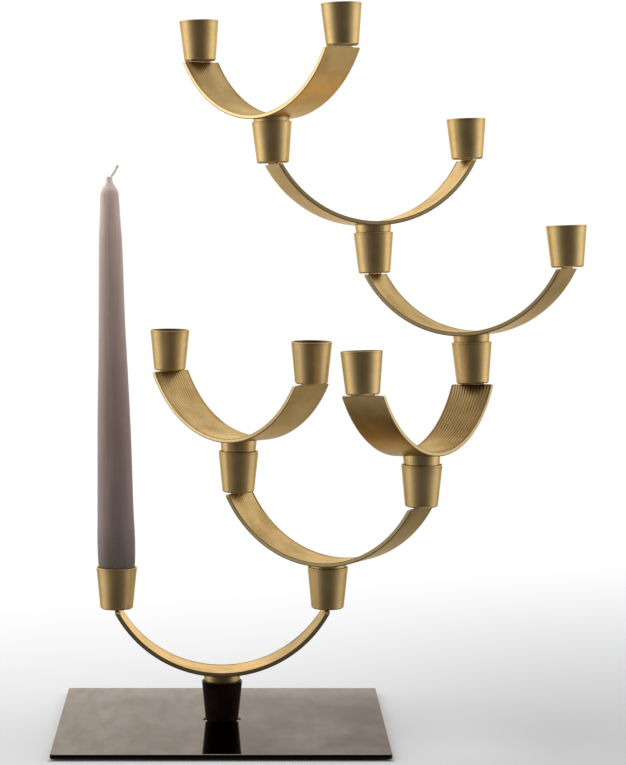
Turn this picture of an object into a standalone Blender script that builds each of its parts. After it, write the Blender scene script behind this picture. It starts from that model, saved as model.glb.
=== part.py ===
"""Stacking candelabra.

A square bronze plate carries one tapered cup. Seven identical brass arms stand on it and on
each other: each arm is a rolled strap with a cup on either end and a plug, the spigot, under
its middle, which drops into any cup below. One taper candle stands in the lowest arm.

Units are metres, +Z is up, and the origin is the centre of the underside.
"""

import math

import bmesh
import bpy
from mathutils import Matrix, Vector

MM = 0.001
GAP = 0.3  # clearance between pieces that touch

# Base plate with its felt, in millimetres from here on
FELT_SIDE, FELT_THICK, FELT_CORNER = 190.0, 0.6, 3.0
PLATE_SIDE, PLATE_THICK, PLATE_CORNER, PLATE_CHAMFER = 200.0, 2.7, 2.0, 0.35
PLATE_BOTTOM = FELT_THICK + GAP
PLATE_TOP = PLATE_BOTTOM + PLATE_THICK
RECESS_RADIUS, RECESS_DEPTH = 11.7, 0.8  # shallow seat around the cup's foot
BASE_SCREW_RADIUS, BASE_HEAD_RADIUS, BASE_HEAD_THICK = 1.5, 2.9, 1.4
BASE_SCREW_LENGTH = 4.9

# Candle cup
CUP_HEIGHT, CUP_TOP_RADIUS, CUP_FOOT_RADIUS = 25.1, 12.5, 10.0
CUP_WALL, CUP_FLOOR, CUP_INNER_FOOT_RADIUS = 1.0, 4.5, 9.2
CUP_EDGE = 0.8  # chamfer round the foot
SCREW_POCKET_RADIUS, SCREW_POCKET_DEPTH = 1.8, 3.2

# Rolled strap
STRAP_RADIUS, STRAP_HALF_ANGLE, STRAP_THICK, STRAP_WIDTH = 74.4, 62.4, 2.6, 28.5
STRAP_STEPS = 36
TONGUE_WIDTH, TONGUE_THICK, TONGUE_DEPTH = 15.5, 2.2, 2.7  # depth inside the cup's floor
CUP_LIFT = 1.1  # open line between the strap's shoulder and the cup
HALF_SPAN = 64.8  # from the spigot's axis to a cup's axis
TAP_RADIUS, TAP_DEPTH = 1.55, 1.75

# Spigot, measured down from the lowest line of the strap
SPIGOT_LENGTH, SPIGOT_TOP_RADIUS, SPIGOT_FOOT_RADIUS = 20.0, 11.3, 8.2
SPIGOT_COLLAR, SPIGOT_COLLAR_RADIUS = 6.2, 10.7
SPIGOT_BORE, SPIGOT_POCKET_RADIUS, SPIGOT_POCKET = 1.55, 3.0, 8.0
SCREW_RADIUS, SCREW_HEAD_RADIUS, SCREW_HEAD_HEIGHT, SCREW_HEX = 1.25, 2.3, 2.5, 1.15

# Taper candle, as heights above the rim of its cup
CANDLE_RADIUS, CANDLE_HEIGHT, CANDLE_IN_CUP = 11.2, 239.0, 14.0
CANDLE_LEAN = 1.1  # degrees, towards -X
WICK_RADIUS, WICK_HOLE_RADIUS, WICK_HOLE_DEPTH, WICK_HEIGHT = 0.65, 1.0, 5.0, 6.6

# How the arms stand: the cup below, its own heading about the vertical in degrees, and how
# far the strap stands above that cup's rim
ARMS = {
    1: ("base", 1.0, 4.4),
    2: ("1_right", -31.8, 1.5),
    3: ("2_left", -47.3, 6.1),
    4: ("2_right", 55.7, 4.9),
    5: ("4_right", -27.7, 4.0),
    6: ("5_left", 17.0, 4.2),
    7: ("6_left", -47.8, 1.6),
}
# Arm 4 rocks in its cup under the load it carries, and the arms on it go with it
LEANING_ARM, LEAN, LEAN_HEADING = 4, 3.53, 125.9  # degrees

CUP_STEPS, SPIGOT_STEPS, SCREW_STEPS = 24, 20, 12


def clear_scene():
    for obj in list(bpy.data.objects):
        bpy.data.objects.remove(obj, do_unlink=True)


def collection(name):
    found = bpy.data.collections.new(name)
    bpy.context.scene.collection.children.link(found)
    return found


def material(name, colour, roughness, metallic):
    made = bpy.data.materials.new(name)
    made.use_nodes = True
    shader = made.node_tree.nodes["Principled BSDF"]
    shader.inputs["Base Color"].default_value = (*colour, 1.0)
    shader.inputs["Roughness"].default_value = roughness
    shader.inputs["Metallic"].default_value = metallic
    made.diffuse_color = (*colour, 1.0)
    return made


def add_object(name, mesh, where, parent=None, location=(0, 0, 0), look=None):
    """An object from a mesh; location is in millimetres in the parent's axes."""
    obj = bpy.data.objects.new(name, mesh)
    where.objects.link(obj)
    obj.parent = parent
    obj.location = Vector(location) * MM
    if look:
        mesh.materials.clear()
        mesh.materials.append(look)
    return obj


def add_empty(name, where, parent, location, rotation):
    obj = add_object(name, None, where, parent, location)
    obj.empty_display_size = 0.01
    obj.rotation_euler = rotation.to_euler()
    return obj


def turned(name, profile, steps, closed=False):
    """A scratch object: a profile of (radius, height) turned about Z."""
    mesh = bpy.data.meshes.new(name)
    count = len(profile)
    edges = [(i, i + 1) for i in range(count - 1)] + ([(count - 1, 0)] if closed else [])
    mesh.from_pydata([(r * MM, 0.0, z * MM) for r, z in profile], edges, [])
    obj = bpy.data.objects.new(name, mesh)
    bpy.context.scene.collection.objects.link(obj)
    screw = obj.modifiers.new("Screw", "SCREW")
    screw.axis = "Z"
    screw.angle = math.tau
    screw.steps = screw.render_steps = steps
    screw.use_merge_vertices = True
    screw.merge_threshold = 0.00001
    return obj


def outline(name, points, width):
    """A scratch object: a flat outline in XZ, extruded to this width about Y = 0."""
    curve = bpy.data.curves.new(name, "CURVE")
    curve.dimensions = "2D"
    curve.fill_mode = "BOTH"
    curve.extrude = width / 2 * MM
    spline = curve.splines.new("POLY")
    spline.points.add(len(points) - 1)
    for point, (x, z) in zip(spline.points, points):
        point.co = (x * MM, z * MM, 0.0, 1.0)
    spline.use_cyclic_u = True
    obj = bpy.data.objects.new(name, curve)
    bpy.context.scene.collection.objects.link(obj)
    mesh = evaluated_mesh(obj)
    bpy.data.objects.remove(obj)
    shape = bmesh.new()
    shape.from_mesh(mesh)
    bmesh.ops.remove_doubles(shape, verts=shape.verts, dist=0.000001)
    bmesh.ops.rotate(shape, verts=shape.verts, matrix=Matrix.Rotation(math.pi / 2, 3, "X"))
    bmesh.ops.recalc_face_normals(shape, faces=shape.faces)
    shape.to_mesh(mesh)
    shape.free()
    made = bpy.data.objects.new(name, mesh)
    bpy.context.scene.collection.objects.link(made)
    return made


def block(name, size, centre):
    mesh = bpy.data.meshes.new(name)
    shape = bmesh.new()
    bmesh.ops.create_cube(shape, size=1.0)
    bmesh.ops.scale(shape, verts=shape.verts, vec=Vector(size) * MM)
    bmesh.ops.translate(shape, verts=shape.verts, vec=Vector(centre) * MM)
    shape.to_mesh(mesh)
    shape.free()
    obj = bpy.data.objects.new(name, mesh)
    bpy.context.scene.collection.objects.link(obj)
    return obj


def slab(name, side, corner, bottom, thick):
    """A square sheet with round corners."""
    obj = block(name, (side, side, thick), (0, 0, bottom + thick / 2))
    shape = bmesh.new()
    shape.from_mesh(obj.data)
    upright = [e for e in shape.edges if abs(e.verts[0].co.z - e.verts[1].co.z) > 1e-6]
    bmesh.ops.bevel(
        shape, geom=upright, offset=corner * MM, segments=4, profile=0.5, affect="EDGES"
    )
    shape.to_mesh(obj.data)
    shape.free()
    return obj


def rod(name, radius, low, high, steps, end_radius=None):
    """A scratch cylinder or cone along Z."""
    top = radius if end_radius is None else end_radius
    return turned(name, [(0, high), (top, high), (radius, low), (0, low)], steps)


def hide_as_cutter(obj, cutters):
    bpy.context.scene.collection.objects.unlink(obj)
    cutters.objects.link(obj)
    obj.hide_render = True
    obj.display_type = "WIRE"


def boolean(obj, other, operation, cutters):
    hide_as_cutter(other, cutters)
    mod = obj.modifiers.new(operation.title(), "BOOLEAN")
    mod.operation = operation
    mod.solver = "EXACT"
    mod.object = other


def evaluated_mesh(obj):
    graph = bpy.context.evaluated_depsgraph_get()
    graph.update()
    return bpy.data.meshes.new_from_object(obj.evaluated_get(graph))


def baked(obj, name):
    """The finished mesh of a scratch object, shaded smooth between its sharp edges."""
    mesh = evaluated_mesh(obj)
    mesh.name = name
    mesh.shade_smooth()
    mesh.set_sharp_from_angle(angle=math.radians(30))
    bpy.data.objects.remove(obj)
    return mesh


def cup_profile(with_pocket):
    top, foot = CUP_TOP_RADIUS, CUP_FOOT_RADIUS
    points = [
        (0, CUP_FLOOR),
        (CUP_INNER_FOOT_RADIUS, CUP_FLOOR),
        (top - CUP_WALL, CUP_HEIGHT),
        (top, CUP_HEIGHT),
        (foot + CUP_EDGE * (top - foot) / CUP_HEIGHT, CUP_EDGE),
        (foot - CUP_EDGE, 0),
    ]
    if with_pocket:
        points += [
            (SCREW_POCKET_RADIUS, 0),
            (SCREW_POCKET_RADIUS, SCREW_POCKET_DEPTH),
            (0, SCREW_POCKET_DEPTH),
        ]
    else:
        points.append((0, 0))
    return points


def arm_cup_mesh(cutters):
    """A cup with the slot that the strap's tongue enters from below."""
    cup = turned("arm_cup", cup_profile(False), CUP_STEPS)
    height = TONGUE_DEPTH + GAP
    size = (TONGUE_THICK + 2 * GAP, TONGUE_WIDTH + 2 * GAP, height + 2)
    boolean(cup, block("tongue_slot", size, (0, 0, height / 2 - 1)), "DIFFERENCE", cutters)
    return baked(cup, "arm_cup")


def strap_rise():
    """From the strap's lowest line to its level-cut ends."""
    return STRAP_RADIUS * (1 - math.cos(math.radians(STRAP_HALF_ANGLE)))


def arc(radius, half_angle, steps):
    """Points along the strap's curve, its lowest outer point at the origin."""
    for i in range(steps + 1):
        a = half_angle * (2 * i / steps - 1)
        yield radius * math.sin(a), STRAP_RADIUS - radius * math.cos(a)


def strap_mesh(cutters):
    outer = math.radians(STRAP_HALF_ANGLE)
    inner_radius = STRAP_RADIUS - STRAP_THICK
    inner = math.acos(STRAP_RADIUS * math.cos(outer) / inner_radius)
    points = list(arc(STRAP_RADIUS, outer, STRAP_STEPS))
    points += reversed(list(arc(inner_radius, inner, STRAP_STEPS)))
    strap = outline("strap", points, STRAP_WIDTH)
    low, high = strap_rise() - 2.0, strap_rise() + CUP_LIFT + TONGUE_DEPTH
    for side in (-1, 1):
        size = (TONGUE_THICK, TONGUE_WIDTH, high - low)
        centre = (side * (HALF_SPAN - 0.05), 0, (low + high) / 2)
        boolean(strap, block("tongue", size, centre), "UNION", cutters)
    tap = rod("tapped_hole", TAP_RADIUS, -1.0, TAP_DEPTH, SCREW_STEPS)
    boolean(strap, tap, "DIFFERENCE", cutters)
    return baked(strap, "strap")


def spigot_mesh(cutters):
    """A plug with a saddle on top that the strap lies in, and a pocket for its screw."""
    top = 1.2
    profile = [
        (SPIGOT_BORE, top),
        (SPIGOT_TOP_RADIUS, top),
        (SPIGOT_TOP_RADIUS, 0),
        (SPIGOT_COLLAR_RADIUS, -SPIGOT_COLLAR),
        (SPIGOT_FOOT_RADIUS + 0.5, -SPIGOT_LENGTH + 1.0),
        (SPIGOT_FOOT_RADIUS - 0.5, -SPIGOT_LENGTH),
        (SPIGOT_POCKET_RADIUS, -SPIGOT_LENGTH),
        (SPIGOT_POCKET_RADIUS, SPIGOT_POCKET - SPIGOT_LENGTH),
        (SPIGOT_BORE, SPIGOT_POCKET - SPIGOT_LENGTH),
    ]
    spigot = turned("spigot", profile, SPIGOT_STEPS, closed=True)
    radius = STRAP_RADIUS + GAP
    roll = rod("saddle", radius, -20, 20, 96)
    roll.rotation_euler.x = math.pi / 2
    roll.location.z = STRAP_RADIUS * MM
    boolean(spigot, roll, "DIFFERENCE", cutters)
    return baked(spigot, "spigot")


def screw_mesh(cutters):
    """A cap screw, its head in the spigot's pocket and its tip in the strap."""
    under_head = SPIGOT_POCKET - SPIGOT_LENGTH - GAP
    profile = [
        (0, TAP_DEPTH - GAP),
        (SCREW_RADIUS, TAP_DEPTH - GAP),
        (SCREW_RADIUS, under_head),
        (SCREW_HEAD_RADIUS, under_head),
        (SCREW_HEAD_RADIUS, under_head - SCREW_HEAD_HEIGHT),
        (0, under_head - SCREW_HEAD_HEIGHT),
    ]
    screw = turned("cap_screw", profile, SCREW_STEPS)
    bottom = under_head - SCREW_HEAD_HEIGHT
    hexagon = rod("hex_socket", SCREW_HEX, bottom - 1, bottom + 1.3, 6)
    boolean(screw, hexagon, "DIFFERENCE", cutters)
    return baked(screw, "cap_screw")


def candle_profile():
    """Radii by height above the rim: a pared foot, a long taper, and a short neck."""
    r, top = CANDLE_RADIUS, CANDLE_HEIGHT
    stations = [
        (top, 1.9),
        (top - 3.0, 2.1),
        (top - 6.0, 3.6),
        (top - 8.5, 5.0),
        (top - 11.3, 5.65),
        (top - 27.0, 6.45),
        (top - 39.0, 7.15),
        (top - 94.0, 8.35),
        (top - 149.0, 10.1),
        (top - 204.0, 11.1),
        (top - 223.0, 11.65),
        (4.5, r + 0.25),
        (0.0, r - 0.1),
        (-CANDLE_IN_CUP, 9.0),
    ]
    return [
        (0, top - WICK_HOLE_DEPTH),
        (WICK_HOLE_RADIUS, top - WICK_HOLE_DEPTH),
        (WICK_HOLE_RADIUS, top),
        *((radius, height) for height, radius in stations),
        (0, -CANDLE_IN_CUP),
    ]


def wick_points():
    """From inside the wax up and over towards +X."""
    low = CANDLE_HEIGHT - WICK_HOLE_DEPTH + GAP
    yield 0.0, low
    yield 0.0, low + 2.4
    start = CANDLE_HEIGHT + 0.2
    for i in range(6):
        t = i / 5
        yield 3.3 * t**1.4, start + (WICK_HEIGHT - 0.2) * t


def wick_object(where, parent, look):
    curve = bpy.data.curves.new("wick", "CURVE")
    curve.dimensions = "3D"
    curve.bevel_depth = WICK_RADIUS * MM
    curve.bevel_resolution = 2
    curve.use_fill_caps = True
    points = list(wick_points())
    spline = curve.splines.new("POLY")
    spline.points.add(len(points) - 1)
    for point, (x, z) in zip(spline.points, points):
        point.co = (x * MM, 0.0, z * MM, 1.0)
    obj = bpy.data.objects.new("candle_wick", curve)
    where.objects.link(obj)
    curve.materials.append(look)
    obj.parent = parent
    return obj


def base_plate(cutters):
    plate = slab("base_plate", PLATE_SIDE, PLATE_CORNER, PLATE_BOTTOM, PLATE_THICK)
    bevel = plate.modifiers.new("Bevel", "BEVEL")
    bevel.width = PLATE_CHAMFER * MM
    bevel.segments = 1
    bevel.limit_method = "ANGLE"
    bevel.angle_limit = math.radians(60)
    floor = PLATE_TOP - RECESS_DEPTH
    recess = rod("recess", RECESS_RADIUS, floor, PLATE_TOP + 1, 2 * CUP_STEPS)
    boolean(plate, recess, "DIFFERENCE", cutters)
    hole = rod("screw_hole", BASE_SCREW_RADIUS + GAP, PLATE_BOTTOM - 1, PLATE_TOP, 16)
    boolean(plate, hole, "DIFFERENCE", cutters)
    # the cone runs on below the plate at the same slope
    slope = (BASE_HEAD_RADIUS - BASE_SCREW_RADIUS) / BASE_HEAD_THICK
    wide = BASE_HEAD_RADIUS + GAP
    sink = rod(
        "countersink",
        wide + 0.5 * slope,
        PLATE_BOTTOM - 0.5,
        PLATE_BOTTOM + BASE_HEAD_THICK,
        16,
        wide - BASE_HEAD_THICK * slope,
    )
    boolean(plate, sink, "DIFFERENCE", cutters)
    return baked(plate, "base_plate")


def base_screw_mesh():
    low = PLATE_BOTTOM + 0.1
    profile = [
        (0, low + BASE_SCREW_LENGTH),
        (BASE_SCREW_RADIUS, low + BASE_SCREW_LENGTH),
        (BASE_SCREW_RADIUS, low + BASE_HEAD_THICK - 0.1),
        (BASE_HEAD_RADIUS - 0.1, low),
        (0, low),
    ]
    return baked(turned("base_screw", profile, 16), "base_screw")


def lean_matrix(angle, heading):
    """A tilt of the Z axis by this angle towards this heading."""
    axis = Vector((-math.sin(heading), math.cos(heading), 0.0))
    return Matrix.Rotation(angle, 3, axis)


def build():
    clear_scene()
    parts = collection("Stacking_candelabra")
    cutters = collection("Cutters")
    brass = material("Satin_brass", (0.58, 0.42, 0.20), 0.33, 1.0)
    brass_cup = material("Turned_brass", (0.56, 0.41, 0.20), 0.30, 1.0)
    brass_plug = material("Plug_brass", (0.50, 0.38, 0.22), 0.32, 1.0)
    bronze = material("Burnished_bronze", (0.16, 0.135, 0.115), 0.22, 1.0)
    black_bronze = material("Blackened_bronze", (0.03, 0.024, 0.02), 0.2, 1.0)
    steel = material("Screw_steel", (0.50, 0.50, 0.50), 0.35, 1.0)
    felt = material("Dark_felt", (0.03, 0.03, 0.032), 0.95, 0.0)
    wax = material("Taupe_wax", (0.33, 0.27, 0.235), 0.5, 0.0)
    cotton = material("Wick_cotton", (0.85, 0.82, 0.75), 0.9, 0.0)

    root = add_object("candelabra", None, parts)
    sheet = slab("felt", FELT_SIDE, FELT_CORNER, 0.0, FELT_THICK)
    add_object("base_felt", baked(sheet, "base_felt"), parts, root, look=felt)
    add_object("base_plate", base_plate(cutters), parts, root, look=bronze)
    foot = PLATE_TOP - RECESS_DEPTH + GAP
    base_cup = baked(turned("base_cup", cup_profile(True), CUP_STEPS), "base_cup")
    add_object("base_cup", base_cup, parts, root, (0, 0, foot), black_bronze)
    add_object("base_screw", base_screw_mesh(), parts, root, look=steel)

    strap, cup = strap_mesh(cutters), arm_cup_mesh(cutters)
    spigot, screw = spigot_mesh(cutters), screw_mesh(cutters)

    # each cup's rim centre, as the seat of whatever stands in it
    seats = {"base": (root, Vector((0, 0, foot + CUP_HEIGHT)), 0.0)}
    for number, (below, heading, stand_off) in ARMS.items():
        parent, rim, parent_heading = seats[below]
        turn = Matrix.Rotation(math.radians(heading - parent_heading), 3, "Z")
        if number == LEANING_ARM:
            turn = lean_matrix(math.radians(LEAN), math.radians(LEAN_HEADING - parent_heading)) @ turn
        arm = add_empty(f"arm_{number}", parts, parent, rim, turn)
        level = stand_off + strap_rise() + CUP_LIFT
        add_object(f"strap_{number}", strap, parts, arm, (0, 0, stand_off), brass)
        for side, name in ((-1, "left"), (1, "right")):
            x = side * HALF_SPAN
            add_object(f"cup_{number}_{name}", cup, parts, arm, (x, 0, level), brass_cup)
            seats[f"{number}_{name}"] = (arm, Vector((x, 0, level + CUP_HEIGHT)), heading)
        add_object(f"spigot_{number}", spigot, parts, arm, (0, 0, stand_off), brass_plug)
        add_object(f"spigot_screw_{number}", screw, parts, arm, (0, 0, stand_off), steel)

    arm, rim, heading = seats["1_left"]
    toward = math.radians(180 - heading)
    candle = add_empty("candle", parts, arm, rim, lean_matrix(math.radians(CANDLE_LEAN), toward))
    body = baked(turned("wax", candle_profile(), CUP_STEPS), "candle_wax")
    add_object("candle_wax", body, parts, candle, look=wax)
    wick_object(parts, candle, cotton)


build()
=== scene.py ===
"""Looks for the stacking candelabra: a bronze plate with a black cup, seven brass arms that
stand in one another, and one taper candle. Lengths are in millimetres until a mesh is made."""

import math

import bmesh
import bpy
from mathutils import Matrix, Vector


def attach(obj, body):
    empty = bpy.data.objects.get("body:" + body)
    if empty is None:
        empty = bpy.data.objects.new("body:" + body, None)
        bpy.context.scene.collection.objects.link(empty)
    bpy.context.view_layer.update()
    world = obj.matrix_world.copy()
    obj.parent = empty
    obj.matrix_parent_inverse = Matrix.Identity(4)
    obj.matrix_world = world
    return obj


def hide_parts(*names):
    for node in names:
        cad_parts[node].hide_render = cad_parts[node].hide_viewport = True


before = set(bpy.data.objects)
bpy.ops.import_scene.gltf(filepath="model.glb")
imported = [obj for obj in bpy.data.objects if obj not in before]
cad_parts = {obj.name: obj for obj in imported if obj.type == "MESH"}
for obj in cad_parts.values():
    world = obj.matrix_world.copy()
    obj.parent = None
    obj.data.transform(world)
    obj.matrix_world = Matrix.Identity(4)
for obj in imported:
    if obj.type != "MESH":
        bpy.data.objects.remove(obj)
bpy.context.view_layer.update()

MM = 0.001
ROUND_STEPS = 112  # round a cup or a plug

# ---------------------------------------------------------------- sizes, as in the CAD
PLATE_SIDE, PLATE_BOTTOM, PLATE_TOP = 200.0, 0.9, 3.6
PLATE_CORNER, PLATE_EDGE = 2.0, 0.35  # radii of the upright corners and of the eased edges
RECESS_RADIUS, RECESS_DEPTH = 11.7, 0.8
PLATE_HOLE, COUNTERSINK, COUNTERSINK_DEPTH = 1.8, 3.2, 1.4

CUP_HEIGHT, CUP_TOP, CUP_FOOT = 25.1, 12.5, 10.0  # its top and its foot are outer radii
CUP_WALL, CUP_FLOOR, CUP_INNER_FOOT = 1.0, 4.5, 9.2
CUP_EDGE = 0.8  # how high and how deep the chamfer round the foot is
CUP_SINK = 0.55  # the cups on the arms reach this much lower than in the CAD
BASE_CUP_DROP = 0.3  # the base cup's middle reaches the recess this far below its foot

STRAP_RADIUS, STRAP_HALF_ANGLE, STRAP_THICK, STRAP_WIDTH = 74.4, 62.4, 2.6, 28.5
STRAP_RISE = STRAP_RADIUS * (1 - math.cos(math.radians(STRAP_HALF_ANGLE)))
STRAP_INNER = STRAP_RADIUS - STRAP_THICK
STRAP_CORNER, STRAP_BEVEL = 1.1, 0.3  # at the strap's ends
OUTER_EASE, INNER_EASE = 0.38, 0.25  # radii along its edges
RIBS, RIB_DEPTH = 14, 0.27
LIP, LIP_STEP, LIP_SLOPE = 0.62, 0.18, 0.12  # how wide the lip, how high, and how wide its slope
TONGUE_NEAR, TONGUE_FAR, TONGUE_WIDTH = 63.9, 65.3, 15.5  # near and far from the arm's axis
TONGUE_IN_CUP = 0.6
CUP_LIFT, HALF_SPAN = 1.1, 64.8

SPIGOT_LENGTH, SPIGOT_TOP, SPIGOT_FOOT = 20.0, 11.3, 8.2  # the last two are radii
SPIGOT_COLLAR, SPIGOT_COLLAR_RADIUS = 6.2, 10.7
SADDLE_GAP = 0.02  # between a strap and the plug under it
SCREW_BORE, POCKET_RADIUS, POCKET_DEPTH = 1.55, 3.0, 8.0
SCREW_HEAD, SCREW_HEAD_HEIGHT, SCREW_SHANK, SCREW_GAP = 2.3, 2.5, 1.25, 0.3
SOCKET_RADIUS, SOCKET_DEPTH = 1.15, 1.3

CANDLE_HEIGHT, CANDLE_IN_CUP, CANDLE_LEAN = 239.0, 14.0, 1.1
WICK_RADIUS, WICK_HEIGHT = 0.65, 6.6

# What each arm stands in, its heading, the gap under its strap, and the painted light on its
# strap's brass as brightness factors: outside, inside on the left, inside on the right, and on the
# edges.
ARMS = {
    1: ("base", 1.0, 4.4, (1.0, 1.27, 0.76, 0.68)),
    2: ("1_right", -31.8, 1.5, (1.02, 1.03, 0.95, 0.62)),
    3: ("2_left", -47.3, 6.1, (1.18, 1.05, 1.05, 0.72)),
    4: ("2_right", 55.7, 4.9, (1.0, 0.97, 0.66, 0.72)),
    5: ("4_right", -27.7, 4.0, (1.36, 0.93, 0.90, 0.72)),
    6: ("5_left", 17.0, 4.2, (1.5, 1.40, 1.18, 1.1)),
    7: ("6_left", -47.8, 1.6, (1.5, 0.91, 0.91, 0.94)),
}
LEANING_ARM, LEAN, LEAN_HEADING = 4, 3.53, 125.9


# ---------------------------------------------------------------- mesh helpers
def linked(name, data):
    """A new object in the scene."""
    obj = bpy.data.objects.new(name, data)
    bpy.context.scene.collection.objects.link(obj)
    return obj


def new_object(name, verts, faces, matrix, look, sharp):
    """A smooth-shaded piece from points in millimetres, placed by its matrix."""
    mesh = bpy.data.meshes.new(name)
    mesh.from_pydata([(x * MM, y * MM, z * MM) for x, y, z in verts], [], faces)
    shape = bmesh.new()
    shape.from_mesh(mesh)
    bmesh.ops.recalc_face_normals(shape, faces=shape.faces)
    shape.to_mesh(mesh)
    shape.free()
    mesh.shade_smooth()
    mesh.set_sharp_from_angle(angle=math.radians(sharp))
    mesh.materials.append(look)
    obj = linked(name, mesh)
    obj.matrix_world = matrix
    return obj


def read_out(mesh):
    """The points and faces of a bmesh, which is freed."""
    mesh.verts.index_update()
    found = [tuple(v.co) for v in mesh.verts], [[v.index for v in f.verts] for f in mesh.faces]
    mesh.free()
    return found


def skin(mesh, low, high):
    """A band of quads between two loops of points."""
    for k in range(len(low)):
        m = (k + 1) % len(low)
        mesh.faces.new((low[k], low[m], high[m], high[k]))


def fill(mesh, outer, inner, **options):
    """Level triangles between two loops of points."""
    edges = []
    for loop in (outer, inner):
        for pair in zip(loop, loop[1:] + loop[:1]):
            edges.append(mesh.edges.get(pair) or mesh.edges.new(pair))
    bmesh.ops.triangle_fill(mesh, edges=edges, **options)


def quarter(k, steps):
    """The angle after k of the steps that make a quarter turn."""
    return math.pi / 2 * k / steps


def filleted(corners, steps=5, support=0.12):
    """A profile of (radius, height, round) with its corners rounded, and a support point
    beside each round so that the shading of the long faces stays even."""
    out = []
    for i, (r, z, size) in enumerate(corners):
        here = Vector((r, z))
        if not size or i in (0, len(corners) - 1):
            out.append((r, z))
            continue
        before = Vector(corners[i - 1][:2]) - here
        after = Vector(corners[i + 1][:2]) - here
        a, b = before.normalized(), after.normalized()
        half = a.angle(b) / 2
        back = size / math.tan(half)
        centre = here + (a + b).normalized() * (size / math.sin(half))
        start, end = here + a * back, here + b * back
        if before.length > back + 3 * support:
            out.append(tuple(start + a * support))
        u, v = start - centre, end - centre
        sweep = u.angle_signed(v)
        for k in range(steps + 1):
            out.append(tuple(centre + Matrix.Rotation(-sweep * k / steps, 2) @ u))
        if after.length > back + 3 * support:
            out.append(tuple(end + b * support))
    return out


def lathe(profile, steps, closed=False, bend=None):
    """Points and faces of a profile of (radius, height) turned about Z. bend may move each
    point: it gets x, y, z and the index in the profile."""
    verts, rings = [], []
    for i, (r, z) in enumerate(profile):
        if r < 1e-6:
            rings.append([len(verts)] * steps)
            verts.append((0.0, 0.0, z))
            continue
        rings.append(list(range(len(verts), len(verts) + steps)))
        for k in range(steps):
            a = math.tau * k / steps
            verts.append((r * math.cos(a), r * math.sin(a), z))
    if bend:
        index = [i for i, ring in enumerate(rings) for _ in dict.fromkeys(ring)]
        verts = [bend(*v, i) for v, i in zip(verts, index)]
    faces = []
    pairs = list(zip(rings, rings[1:])) + ([(rings[-1], rings[0])] if closed else [])
    for low, high in pairs:
        for k in range(steps):
            m = (k + 1) % steps
            face = list(dict.fromkeys((low[k], low[m], high[m], high[k])))
            if len(face) > 2:
                faces.append(face)
    return verts, faces


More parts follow.
